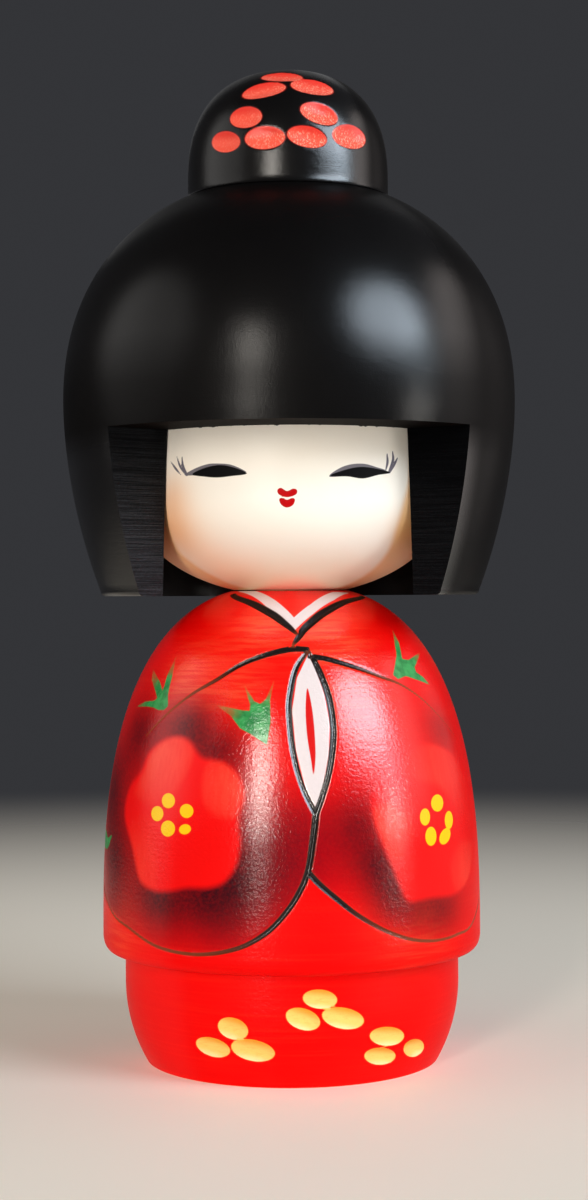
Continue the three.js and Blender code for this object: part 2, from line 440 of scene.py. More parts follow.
def colour(red, green, blue):
    """A colour of the photograph, 0 to 255, as linear light."""
    share = np.array([red, green, blue]) / 255
    linear = np.where(share <= 0.04045, share / 12.92, ((share + 0.055) / 1.055) ** 2.4)
    return (*linear.tolist(), 1.0)


class Paint:
    """A material in the making: colours laid over each other, under a lacquer."""

    def __init__(self, name, ground, roughness, coat_roughness=0.2, specular=0.5):
        self.material = bpy.data.materials.new(name)
        self.material.use_nodes = True
        self.tree = self.material.node_tree
        self.surface = self.tree.nodes["Principled BSDF"]
        self.give("Roughness", roughness)
        self.give("Coat Roughness", coat_roughness)
        self.give("Specular IOR Level", specular)
        self.place = self.node("ShaderNodeTexCoord").outputs["Object"]
        self.colour = colour(*ground)
        self.relief = None

    def node(self, kind, **settings):
        made = self.tree.nodes.new(kind)
        for key, value in settings.items():
            setattr(made, key, value)
        return made

    def put(self, socket, value):
        """Gives a socket a constant value, a field of the piece by its name, or another socket's value."""
        if isinstance(value, str):
            value = self.node("ShaderNodeAttribute", attribute_name=value).outputs["Fac"]
        if isinstance(value, bpy.types.NodeSocket):
            self.tree.links.new(value, socket)
        else:
            socket.default_value = value

    def give(self, name, value):
        """Gives the surface a value."""
        self.put(self.surface.inputs[name], value)

    def fed(self, made, *values):
        """Gives a node's first sockets their values, and returns what the node puts out."""
        for socket, value in zip(made.inputs, values):
            self.put(socket, value)
        return made.outputs[0]

    def math(self, operation, *values):
        return self.fed(self.node("ShaderNodeMath", operation=operation), *values)

    def span(self, value, start, end, low=0.0, high=1.0):
        """Goes smoothly from low to high as the value goes from start to end."""
        made = self.node("ShaderNodeMapRange", interpolation_type="SMOOTHSTEP")
        return self.fed(made, value, start, end, low, high)

    def noise(self, size, detail=2.0, stretch=(1, 1, 1), roughness=0.5):
        """Noise with grains of about a size in millimetres, longer along an axis where it is stretched."""
        mapping = self.node("ShaderNodeMapping")
        self.put(mapping.inputs["Vector"], self.place)
        mapping.inputs["Scale"].default_value = [1 / (MM * size * k) for k in stretch]
        made = self.node("ShaderNodeTexNoise")
        self.put(made.inputs["Vector"], mapping.outputs[0])
        made.inputs["Scale"].default_value = 1.0
        made.inputs["Detail"].default_value = detail
        made.inputs["Roughness"].default_value = roughness
        return made.outputs["Fac"]

    def axis(self, name):
        """How far along an axis of the piece a point is, in metres."""
        made = self.node("ShaderNodeSeparateXYZ")
        self.put(made.inputs[0], self.place)
        return made.outputs[name]

    def product(self, first, *others):
        """Values multiplied together."""
        for other in others:
            first = self.math("MULTIPLY", first, other)
        return first

    def over(self, paint, *shares):
        """Lays a colour over what is there, by a share from 0 to 1, or by several multiplied."""
        made = self.node("ShaderNodeMix", data_type="RGBA")
        self.put(made.inputs["Factor"], self.product(*shares))
        self.put(made.inputs[6], self.colour)
        self.put(made.inputs[7], colour(*paint))
        self.colour = made.outputs[2]

    def edge(self, name, softness=0.06, shift=0.0):
        """1 inside a shape and 0 outside it, from its signed distance in millimetres."""
        return self.span(name, shift + softness, shift - softness)

    def bump(self, height, distance):
        """Fine relief: a height from 0 to 1, with its depth in millimetres."""
        made = self.node("ShaderNodeBump")
        made.inputs["Distance"].default_value = distance * MM
        self.put(made.inputs["Height"], height)
        if self.relief:
            self.put(made.inputs["Normal"], self.relief)
        self.relief = made.outputs[0]

    def done(self):
        self.give("Base Color", self.colour)
        if self.relief:
            self.give("Normal", self.relief)
            self.give("Coat Normal", self.relief)
        return self.material


LACQUER_IOR = 1.75
PAINT_ROUGHNESS = 0.5  # of the dull paint under the lacquer
PAINT_SPECULAR = 0.05


def lacquered(name, ground, coat_roughness):
    """Dull paint under a clear lacquer, which is as glossy as the piece's points say."""
    paint = Paint(name, ground, PAINT_ROUGHNESS, coat_roughness, PAINT_SPECULAR)
    paint.give("Coat IOR", LACQUER_IOR)
    paint.give("Coat Weight", "gloss")
    return paint


def turning_lines(paint, depth):
    """Fine rings that the turning tool and the brush leave round a piece."""
    rings = paint.noise(0.4, detail=3, stretch=(40, 40, 1))
    paint.bump(rings, depth)
    return rings


def orange_peel(paint, size, depth):
    """The fine unevenness of brushed lacquer."""
    paint.bump(paint.noise(size), depth)


def red_lacquer():
    """The body: red stain, sprayed shading round the flowers that is partly painted shade at the left edge,
    flowers, painted collar, carved lines, and gouged petals with painted shade at their tops and painted
    highlights low in them.
    """
    paint = lacquered("red_lacquer_painted", (240, 2, 2), 0.14)
    rings = turning_lines(paint, 0.016)
    orange_peel(paint, 0.5, 0.042)
    orange_peel(paint, 0.22, 0.026)
    streaks = paint.span(rings, 0.45, 0.75)
    paint.over((255, 44, 22), streaks, 0.2)
    brushed = paint.span(paint.noise(0.5, detail=4, stretch=(12, 12, 1)), 0.4, 0.62, 0.3, 1.0)
    paint.over((255, 88, 52), "glow", brushed)
    speckle = paint.span(paint.noise(0.45), 0.2, 0.75, 0.9, 1.06)
    paint.over((106, 0, 16), "haze", speckle)
    # Dark spray round the flowers; at the doll's left edge it is partly painted shade
    paint.over((58, 1, 12), "shade", speckle)
    flower = paint.span("flower", 0.35, -0.9)
    paint.over((240, 5, 4), flower)
    petal = paint.span("petal", 0.3, -1.2)
    strokes = paint.span(paint.noise(0.6, detail=3, stretch=(1, 1, 9)), 0.35, 0.65, 0.6, 0.85)
    paint.over((255, 80, 58), petal, "petal_light", strokes, flower)
    leaf = paint.product(paint.edge("leaf", 0.12), paint.span("leaf_ink", 0.0, 0.75))
    leaf_grain = paint.span(paint.noise(1.2), 0.3, 0.7)
    paint.over((34, 126, 62), leaf)
    paint.over((58, 160, 84), leaf, leaf_grain)
    paint.over((250, 200, 8), paint.edge("stamen", 0.08))
    paint.over((228, 214, 213), paint.edge("white", 0.08))
    paint.over((214, 24, 22), paint.edge("slit", 0.08))
    groove = paint.edge("groove", 0.09)
    paint.over((146, 60, 24), groove)
    paint.over((22, 14, 12), groove, "ink")
    gouge = paint.edge("gouge", 0.07)
    # Gouge marks: orange at their tops as painted shade, paler below as painted light
    paint.over((247, 166, 52), gouge)
    paint.over((251, 206, 110), gouge, paint.span("rise", 1.0, 0.0))
    fibres = paint.noise(0.3, detail=3, stretch=(4, 4, 1))
    paint.over((242, 170, 76), gouge, paint.span(fibres, 0.5, 0.72, 0.0, 0.3))
    # Palest at the bottom of each mark as painted light, with painted highlight glints there
    pale = paint.product(gouge, paint.span("rise", -0.4, -1.0, 0.0, 0.6))
    glints = paint.span(paint.noise(0.2), 0.62, 0.74, 0.0, 0.5)
    paint.over((255, 236, 188), pale)
    paint.over((255, 244, 214), pale, glints)
    paint.over((214, 170, 112), paint.edge("foot", 0.02))
    return paint.done()


def black_lacquer(name, peel):
    """The hair: black paint and lacquer, whose broad unevenness is as deep as the peel."""
    paint = lacquered(name, (6, 5, 5), 0.18)
    turning_lines(paint, 0.006)
    orange_peel(paint, 0.15, 0.02)
    orange_peel(paint, 0.4, 0.01)
    orange_peel(paint, 1.1, peel)
    paint.over((14, 12, 12), paint.noise(6, detail=3), 0.5)
    return paint


def sawn_black():
    """The sawn sides of the window: black paint that leaves the saw's lines and speckles showing, with a
    bluish-grey painted sheen that is strongest on the left wall and low down, and painted shade under the
    fringe.
    """
    paint = Paint("black_sawn_wood", (4, 4, 5), 0.45)
    lines = paint.noise(0.09, stretch=(150, 150, 1), roughness=0.7)
    speckle = paint.noise(0.12)
    paint.bump(lines, 0.07)
    paint.bump(speckle, 0.05)
    # Painted sheen: the saw's lines and speckles show bluish-grey, most on the left wall and low down, with
    # painted shade under the fringe; the sheen also sets the walls' specular
    side = paint.span(paint.axis("X"), -5 * MM, 5 * MM, 1.0, 0.2)
    low = paint.span(paint.axis("Z"), FRINGE * MM, (RIM + 6) * MM, 0.25, 1.0)
    painted_sheen = paint.product(side, low, paint.span(lines, 0.4, 0.66, 0.3, 1.0))
    paint.over((50, 56, 65), painted_sheen, paint.span(speckle, 0.42, 0.66))
    paint.give("Specular IOR Level", paint.product(painted_sheen, 0.3))
    return paint.done()


def fringe_black():
    """The underside of the fringe, where little light comes."""
    paint = Paint("black_fringe_edge", (6, 5, 5), 0.7, specular=0.03)
    paint.bump(paint.noise(0.3), 0.05)
    paint.over((14, 10, 8), paint.span(paint.noise(2, detail=3), 0.4, 0.7))
    return paint.done()


def bun_lacquer():
    """The bun: the hair's black, with red gouge marks, darker at their tops as painted shade, and pale
    chips in them lit as painted sparkle, most low in each mark and towards the right.
    """
    paint = black_lacquer("black_lacquer_gouged", 0.012)
    paint.over((96, 12, 10), paint.edge("gouge", 0.08, 0.1))
    gouge = paint.edge("gouge", 0.06)
    # Red gouge marks, darker at their tops as painted shade
    paint.over((228, 58, 46), gouge)
    lit_hollow = paint.product(gouge, paint.span("rise", 0.85, -0.1))
    paint.over((246, 90, 70), lit_hollow)
    # Pale chips of wood, lit as painted sparkle low in each mark and towards the right
    chips = paint.span(paint.noise(0.2, stretch=(1, 1, 2)), 0.5, 0.68, 0.0, 0.9)
    sparkle_side = paint.span(paint.axis("X"), -10 * MM, 6 * MM, 0.15, 1.0)
    paint.over((255, 184, 158), lit_hollow, chips, sparkle_side)
    return paint.done()


def ivory_paint():
    """The face: pale paint with blushed cheeks, partly painted shade at its edges and painted warm bounce
    light at the chin, black eyes, grey lids and red lips.
    """
    paint = Paint("ivory_paint_face", (252, 245, 234), PAINT_ROUGHNESS, 0.35, PAINT_SPECULAR)
    painted = paint.math("MINIMUM", "eye", "lip")
    paint.give("Coat Weight", paint.span(painted, 0.0, 0.1, 0.02, 0.2))
    turning_lines(paint, 0.006)
    orange_peel(paint, 0.9, 0.012)
    paint.over((250, 234, 210), paint.noise(9), 0.2)
    # Orange spray: blush on the cheeks, partly painted shade where the face turns away at its edges, and
    # painted warm bounce light low on the left
    paint.over((255, 172, 96), "blush_and_painted_light", 0.9)
    # A warm tint up from the chin: partly blush, partly painted warm light bounced from below
    paint.over((255, 236, 184), "chin_tint_and_bounce_light", 0.6)
    paint.over((244, 182, 106), paint.span("front", -0.6, 0.5, 0.0, 0.75))
    paint.over((112, 108, 114), paint.edge("lid", 0.05))
    paint.over((104, 98, 110), paint.edge("lash", 0.05))
    paint.over((12, 11, 12), paint.edge("eye", 0.05))
    paint.over((188, 4, 10), paint.edge("lip", 0.05))
    ragged = paint.math("ADD", "brim", paint.product(paint.noise(1.1, detail=3), 1.1))
    paint.over((24, 18, 16), paint.span(ragged, 0.5, 0.44))
    return paint.done()


def bare_wood():
    """The dowels: bare wood with its grain along them."""
    paint = Paint("bare_turned_wood", (217, 180, 128), 0.62)
    grain = paint.noise(0.8, detail=4, stretch=(1, 1, 14))
    paint.over((188, 146, 94), paint.span(grain, 0.35, 0.7))
    paint.bump(grain, 0.04)
    turning_lines(paint, 0.03)
    return paint.done()


# Ornament of the body and the bun, in pixels of the photograph

COLLAR_LEFT = [(233, 594, 6), (250, 602, 9), (270, 612.5, 9.5), (285, 623.5, 7.5), (296, 633, 4)]
COLLAR_RIGHT = [
    (363, 596, 5), (346, 601, 8), (325, 611.5, 9.5), (307, 626, 8.5), (298, 638, 6), (293, 645, 3),
]
COLLAR_WHITE = [
    (240, 592), (268, 608), (294, 631), (313, 614), (334, 600), (350, 593),
    (333, 592), (311, 604), (294, 617.6), (280, 604), (264, 590),
]
SHOULDER_LEFT = [
    (307, 649, 6), (290, 649, 7), (265, 655, 6.2), (240, 665, 5.2), (216, 680, 4.2), (192, 694, 3.2),
    (168, 713, 2.4), (146, 736, 1.8),
]
SHOULDER_RIGHT = [
    (310, 656, 6), (328, 659, 6), (358, 668, 4.8), (382, 677, 3.6), (401, 684.5, 2.8), (421, 698, 2.2),
    (440, 717, 1.7), (454, 735, 1.4),
]
LENS_LEFT = [
    (308, 650, 4), (296, 668, 5.5), (290, 694, 6), (289, 715, 6), (293, 752, 6), (302, 786, 5.5),
    (316, 815, 6),
]
LENS_RIGHT = [
    (309, 652, 4), (318, 668, 6.5), (328, 694, 7), (333, 722, 7), (333, 745, 7), (328, 777, 6.5),
    (316, 815, 6),
]
LENS_WHITE = [
    (308, 655), (297, 678), (292, 711), (296, 750), (306, 790), (316, 812),
    (322, 790), (328.5, 755), (329.5, 724), (324, 694), (315, 667),
]
SLIT = [
    (307.5, 688), (305.5, 708), (307, 735), (311, 760), (313.5, 775), (315.5, 758), (315, 738),
    (312.5, 711),
]
HEM_LEFT = [
    (316, 814, 7), (313, 840, 7), (308, 871, 6.4), (299, 893, 6), (285, 914, 5.6), (265, 934, 5.2),
    (236, 949, 4.5), (197, 954.5, 3.6), (158, 947, 3.2), (129, 928, 2.9), (110, 908, 2.7),
]
HEM_RIGHT = [
    (308, 872, 6), (318, 883, 6), (333, 896, 5.6), (362, 918, 4.6), (396, 935, 3.8), (427, 941, 3.2),
    (456, 935, 2.8), (475, 917, 2.5),
]
# Behind the doll, where the photograph does not reach: (degrees, height, width in millimetres)
SLEEVE_BACK = [
    (100, 32, 0.48), (118, 40, 0.5), (126, 48, 0.5), (118, 55.5, 0.48), (98, 56, 0.42), (80, 53.5, 0.3),
]
LEAVES = [
    [(164, 710), (168, 706), (168, 694), (172, 677), (177, 655), (167.5, 675), (164, 687), (162.4, 691),
     (160, 682), (153, 668), (152, 680), (155.5, 691), (157.5, 699), (153, 701), (146, 701.5), (136, 707),
     (148, 706.5), (154, 707.5), (158.5, 710)],
    [(267, 745), (270.7, 721), (270, 701), (274, 681), (266, 699), (260, 704), (254, 701), (244, 684),
     (250, 704), (250, 711), (240, 710), (216, 705), (231, 716), (240, 728), (252, 735)],
    [(392.5, 630), (399, 643), (402, 659), (408.5, 660), (420, 652.5), (414.6, 667), (416, 672), (423, 677),
     (430, 685), (416, 679.5), (406, 676), (398, 679), (393, 675), (395, 665), (396.5, 655), (394.5, 643)],
]
SIDE_LEAF = [(111.5, 836, 2), (107.5, 843, 11)]  # one whose tip shows at the edge, as a stroke
SIDE_LEAF_BACK = [(-84, 33.5, 2.6), (-96, 30, 0.3)]
FLOWERS = [
    [(177, 735), (190, 739), (202, 755), (213, 758), (227, 762), (241, 776), (246, 796), (240, 818),
     (242, 843), (238, 866), (225, 884), (208, 890), (187, 890), (170, 893), (153, 892), (139, 881),
     (132, 850), (124, 816), (129, 787), (141, 769), (148, 752), (162, 739)],
    [(430, 742), (450, 750), (462, 770), (470, 800), (473, 840), (469, 878), (455, 896), (430, 900),
     (408, 903), (398, 885), (391, 868), (383, 850), (372, 820), (370, 795), (382, 775), (392, 768),
     (400, 752), (415, 742)],
]
STAMENS = [
    (168.4, 800.7, 13, 15, 0), (157.3, 813.6, 12, 15, 0), (186.6, 811, 13.5, 14, 20),
    (168, 828.6, 14, 16, 0), (185, 829.3, 12, 10, 15), (437.2, 803, 12, 17, 0), (425, 817, 10, 17, 0),
    (448.8, 820, 8, 18, 0), (430.9, 836.3, 11, 19, 0), (445, 836.3, 10, 17, -20),
]
# The dark spray, rows of (x, y, reach, strength): the doll's sprayed paint, but the rows at its left edge,
# (112, 790) and (112, 860), are partly painted shade where the side turns from the light
SPRAY = [
    (140, 730, 45, 0.85), (190, 722, 44, 0.9), (218, 748, 36, 0.75), (250, 790, 40, 0.4),
    (258, 840, 44, 0.6), (236, 892, 54, 0.95), (215, 912, 56, 0.95), (160, 900, 50, 0.9),
    (112, 860, 60, 0.97), (112, 790, 60, 0.97), (352, 826, 36, 0.75), (374, 868, 38, 0.9),
    (386, 894, 30, 0.7), (405, 905, 36, 0.55), (440, 908, 44, 0.75), (440, 725, 34, 0.5),
]
HAZE = [
    (288, 868, 46, 0.75), (300, 828, 36, 0.6), (265, 905, 40, 0.5), (225, 928, 40, 0.5),
    (340, 850, 44, 0.4), (160, 925, 50, 0.3), (112, 900, 40, 0.4),
]
LEAF_INK = [(161, 703, 36, 1), (259, 727, 36, 1), (404, 668, 40, 1), (107, 845, 110, 1)]
PETALS = [
    [(132, 795), (143, 770), (150, 752), (163, 739), (178, 733), (192, 740), (196, 752), (192, 768),
     (184, 783), (176, 795), (165, 802), (148, 806)],
    [(203, 768), (211, 757), (225, 759), (241, 774), (249, 796), (243, 818), (228, 822), (212, 818),
     (202, 806), (199, 788)],
    [(127, 832), (136, 815), (150, 814), (158, 830), (160, 860), (157, 897), (148, 900), (136, 884)],
    [(395, 768), (408, 750), (430, 740), (452, 752), (466, 775), (473, 800), (472, 826), (458, 812),
     (440, 790), (415, 782)],
    [(371, 815), (383, 800), (405, 810), (416, 830), (408, 852), (394, 866), (385, 852)],
    [(461, 838), (474, 845), (470, 882), (455, 894), (449, 865)],
]
PETAL_LIGHT = [
    (160, 752, 42, 0.95), (236, 785, 36, 0.8), (138, 865, 34, 0.4), (440, 768, 40, 0.4),
    (382, 822, 32, 0.6), (466, 872, 32, 0.5),
]
GLOW = [
    (262, 628, 30, 0.7), (330, 635, 34, 0.75), (190, 680, 34, 0.8), (345, 690, 40, 0.5),
    (236, 690, 28, 0.5), (420, 925, 50, 0.3), (120, 930, 40, 0.4), (440, 650, 26, 0.5),
]
SKIRT_PETALS = [
    (233, 1028.5, 31, 21, -20), (213, 1047, 35, 18, -18), (253, 1050, 44, 21, -12), (320, 999, 34, 19, -5),
    (303, 1019, 35, 21, -18), (343, 1018, 42, 21, -10), (387, 1036, 34, 19, 0), (380, 1056, 31, 17, 0),
    (414, 1048, 21, 17, 25),
]
BUN_PETALS = [
    (282, 78, 41, 9, 0), (264, 91.4, 44, 14.5, 12), (312, 88, 43, 14.5, -10), (246, 117.5, 32, 21, 10),
    (319, 114, 39, 20, -20), (226, 142, 28, 21, 4), (265, 138, 40, 23, 4), (307, 137, 40, 21, -12),
    (349, 137, 34, 23, -18),
]
# The sleeves, which hold the spray: along their carved lines, and closed beside the doll
LEFT_SLEEVE = places(LENS_LEFT, HEM_LEFT[1:]) + [(98, 890), (98, 760), (130, 680), (230, 640)]
RIGHT_SLEEVE = places(LENS_RIGHT, HEM_LEFT[1:2], HEM_RIGHT)
RIGHT_SLEEVE += [(490, 900), (490, 760), (470, 690), (420, 640)]

# How glossy the lacquer is round the doll: rows of (degrees, gloss)
JACKET_HIGH_GLOSS = [
    (-180, 0.2), (-100, 0.5), (-40, 0.5), (-29, 0.16), (-20, 0.4), (-10, 0.76), (-1, 0.42), (10, 1.0),
    (37, 1.0), (50, 0.25), (72, 0.35), (100, 0.5), (150, 0.2), (180, 0.2),
]
JACKET_LOW_GLOSS = [
    (-180, 0.12), (-100, 0.45), (-43, 0.42), (-34, 0.05), (-18, 0.05), (-10, 0.1), (-2, 0.04), (30, 0.15),
    (60, 0.1), (100, 0.3), (150, 0.12), (180, 0.12),
]
HAIR_GLOSS = [
    (-180, 0.3), (-75, 0.4), (-46, 0.34), (-30, 0.22), (0, 0.22), (21, 0.5), (42, 0.8), (56, 0.05),
    (70, 0.05), (100, 0.25), (180, 0.3),
]
# Share of the hair's gloss: rows of (height, share), dull at the fringe's edge and beside the bun
HAIR_GLOSS_UP = [
    (FRINGE - 4, 1), (FRINGE, 0.1), (FRINGE + 6, 0.3), (FRINGE + 13, 1),
    (BUN_SEAT - 8, 1), (BUN_SEAT - 1, 0.12),
]
LOCK_GLOSS = 2.2  # the same, on the locks beside the face
LOCK_TOP = (FRINGE - 6, FRINGE + 4)  # heights between which the locks end
LOCK_BACK = (70, 95)  # degrees between which they end
BUN_GLOSS = 1.5  # share of the hair's gloss, on the bun
BORE_GLOSS = 0.05  # inside the hair, which is not brushed
JACKET_LOW = 35  # height up to which the jacket has its low gloss
JACKET_HIGH = 43  # height from which it has its high gloss
SKIRT_GLOSS = 0.25  # share of the jacket's gloss
SKIRT_FADE = 8  # how far above the lip that share ends
LINE_GLOSS = 0.25  # in a carved line
LENS_GLOSS = 1.0  # in the lines round the lens
WHITE_GLOSS = 0.5  # share of the gloss on white paint
GOUGE_GLOSS = 0.35  # the same, in a gouge mark

# Carving, bare wood and spray
GROOVE_SLOPE = 0.75  # of the sides of a carved line, which is cut to a V
GROOVE_REACH = 1.2  # where the cut starts, as a share of half the line's width
GROOVE_ROUND = 0.12  # at the bottom of the V
INK_START = 0.18  # half the width of a line from which it is inked, fully from twice that
SKIRT_GOUGE = 0.55  # depth of the gouge marks
BUN_GOUGE = 0.5
BARE_FOOT = 0.02  # height up to which the wood is bare
SPRAY_REACH = 7  # how far the dark spray round a flower carries
SIDE_SPRAY_REACH = 16  # the same, at the picture's left
SIDE_SPRAY = (-64, -50)  # degrees between which it turns into the other
SPRAY_FALL = 2.5  # how sharply the spray ends
SLEEVE_SOFTNESS = 0.8  # of the spray's end at a sleeve's outline
FLOWER_MARGIN = 28  # how far round a flower its distance is measured

# Features of the face, in pixels of the photograph
EYES = [
    [(192, 474.5), (203, 468.5), (219, 465), (234, 467.5), (247, 473.5), (232, 476), (217, 477.5),
     (203, 476.5)],
    [(329.5, 476), (341, 471), (358, 467), (373, 468), (391, 472.5), (378, 475), (363, 478.5),
     (348, 476.5)],
]
LIDS = [
    [(185, 475), (194, 469), (206, 464.5), (216, 463.5), (232, 465), (247, 473), (225, 472), (200, 475)],
    [(329, 476.5), (338, 469), (350, 464.5), (364, 463.8), (376, 467), (386, 471), (366, 474), (345, 476)],
]
LASHES = [
    [(171, 462, 1.3), (176, 469, 2.6), (181, 475, 1)],
    [(177, 457, 1.3), (180, 466, 2.6), (186, 475, 2)],
    [(182, 457, 1.3), (183, 466, 3), (187, 475, 2.4)],
    [(387, 454, 1.5), (387.5, 462, 3), (385.5, 471, 1.3)],
    [(392.5, 451.5, 1.5), (393, 460, 3.2), (389, 472, 2.4)],
    [(397.5, 458, 1.3), (394.5, 464, 2.8), (390, 472, 1.8)],
]
LIPS = [
    [(277.3, 490), (281, 487.8), (287, 491), (293, 488.6), (297, 490), (296, 494.5), (287, 497.2),
     (279, 494.5)],
    [(279, 499.5), (282, 497.8), (287, 499.8), (292, 498), (295, 499.5), (293, 505), (287, 507.6),
     (281.5, 505)],
]
FACE_FRONT = [
    (160, 405), (162, 431), (163, 481), (167, 520), (176, 547), (192, 563), (213, 576), (240, 587),
    (287, 594), (335, 589), (366, 575), (386, 555), (396, 531), (404, 502), (410, 474), (413, 431),
    (415, 405),
]
# Orange sprays, rows of (x, y, reach, strength): blush on the cheeks, partly painted shade at the face's
# edges, (172, 528) and (408, 528), and painted warm bounce light low down, (200, 552) and (240, 580)
CHEEK_BLUSH_AND_PAINTED_LIGHT = [
    (172, 498, 24, 0.4), (172, 528, 34, 0.75), (200, 552, 40, 0.25), (408, 528, 24, 0.65),
    (240, 580, 44, 0.35),
]
CHIN_TINT_REACH = 7  # how far up the face the chin's tint goes, partly blush and partly painted bounce light
CHIN_TINT_FALL = 1.5  # how fast it fades


def brushed_gloss(angle, rows):
    """The gloss at angles round the doll, going smoothly through rows of (degrees, gloss)."""
    degrees, gloss = np.transpose(rows)
    place = np.interp(np.degrees(angle), degrees, np.arange(len(rows)))
    start = np.minimum(place.astype(int), len(rows) - 2)
    share = place - start
    return gloss[start] + (gloss[start + 1] - gloss[start]) * share * share * (3 - 2 * share)


def kimono_body():
    foot = swell(HEM_RADIUS, FOOT_ROUND_HEIGHT, FOOT_RADIUS, 0, 2)
    turn = np.linspace(0, math.pi / 2, 60)
    lip = np.stack([
        JACKET_RADIUS - LIP_DEPTH * (1 - np.sin(turn)),
        LIP_TOP - (LIP_TOP - SKIRT_HEIGHT) * np.cos(turn),
    ], 1)
    shoulders = swell(JACKET_RADIUS, LIP_TOP, NECK_SEAT_RADIUS, BODY_TOP, SHOULDER_FULLNESS)
    skin = joined(
        spaced(foot, SKIN_STEP),
        spaced([foot[-1], (HEM_RADIUS, SKIRT_HEIGHT)], SKIN_STEP),
        spaced([(HEM_RADIUS, SKIRT_HEIGHT), lip[0]], SKIN_STEP),
        spaced(lip, FINE_STEP),
        spaced(shoulders, SHOULDER_STEP),
    )
    socket, socket_floor = NECK_RADIUS + DOWEL_FIT, NECK_BOTTOM - DOWEL_RELIEF
    outline = joined(
        hidden((0, 0), (FOOT_RADIUS, 0)),
        skin,
        spaced([(NECK_SEAT_RADIUS, BODY_TOP), (socket, BODY_TOP)], PLAIN_STEP),
        hidden((socket, BODY_TOP), (socket, socket_floor)),
        np.array([(socket, socket_floor), (0, socket_floor)]),
    )
    body = Turned(outline, skin, round_angles(JACKET_RADIUS, BODY_ZONES))
    right_back = np.array(SLEEVE_BACK)
    left_back = right_back * [-1, 1, 1]
    lens = [stroke(body, line) for line in (LENS_LEFT, LENS_RIGHT)]
    lines = [stroke(body, line) for line in (COLLAR_LEFT, COLLAR_RIGHT, SHOULDER_LEFT, SHOULDER_RIGHT)]
    lines += [stroke(body, HEM_LEFT, left_back), stroke(body, HEM_RIGHT, right_back)]
    distance, half = nearest(body, lens + lines)
    lens_distance, lens_half = nearest(body, lens)
    leaf_distance, leaf_half = nearest(body, [stroke(body, SIDE_LEAF, SIDE_LEAF_BACK)])
    petals, petal_depth, petal_rise = ovals(body, SKIRT_PETALS, SKIRT_GOUGE)
    flowers = filled(body, FLOWERS, margin=FLOWER_MARGIN)
    outside = np.clip(flowers, 0, None)
    reach = np.interp(np.degrees(body.angle), SIDE_SPRAY, [SIDE_SPRAY_REACH, SPRAY_REACH])
    past_sleeves = filled(body, [LEFT_SLEEVE, RIGHT_SLEEVE], smooth=False)
    sleeves = np.clip(0.5 - past_sleeves / SLEEVE_SOFTNESS, 0, 1)
    white = filled(body, [COLLAR_WHITE, LENS_WHITE], smooth=False)
    height = body.points[:, 2]
    high = np.clip((height - JACKET_LOW) / (JACKET_HIGH - JACKET_LOW), 0, 1)
    gloss_low = brushed_gloss(body.angle, JACKET_LOW_GLOSS)
    gloss_high = brushed_gloss(body.angle, JACKET_HIGH_GLOSS)
    gloss = gloss_low + (gloss_high - gloss_low) * high
    gloss *= np.interp(height, [LIP_TOP, LIP_TOP + SKIRT_FADE], [SKIRT_GLOSS, 1])
    gloss *= np.where(white < 0, WHITE_GLOSS, 1)
    gloss *= np.where(petals < 0, GOUGE_GLOSS, 1)
    gloss = np.where(distance < GROOVE_REACH * half, LINE_GLOSS, gloss)
    gloss = np.where(lens_distance < GROOVE_REACH * lens_half, LENS_GLOSS, gloss)
    body.fields = {
        "groove": distance - half,
        "ink": np.clip((half - INK_START) / INK_START, 0, 1),
        "white": white,
        "slit": filled(body, [SLIT]),
        "leaf": np.minimum(filled(body, LEAVES, smooth=False), leaf_distance - leaf_half),
        "leaf_ink": puffs(body, LEAF_INK),
        "flower": flowers,
        "petal": filled(body, PETALS),
        "petal_light": puffs(body, PETAL_LIGHT),
        "shade": sleeves * puffs(body, SPRAY) * np.exp(-((outside / reach) ** SPRAY_FALL)),
        "haze": sleeves * puffs(body, HAZE),
        "glow": puffs(body, GLOW),
        "stamen": ovals(body, STAMENS)[0],
        "gouge": petals,
        "rise": petal_rise,
        "foot": height - BARE_FOOT,
        "gloss": gloss,
    }
    from_bottom = np.hypot(distance, GROOVE_ROUND)
    body.sink(GROOVE_SLOPE * np.clip(GROOVE_REACH * half - from_bottom, 0, None) + petal_depth)
    piece = body.build("kimono_body_painted", red_lacquer())
    hand_over(piece, "kimono_body", "body")


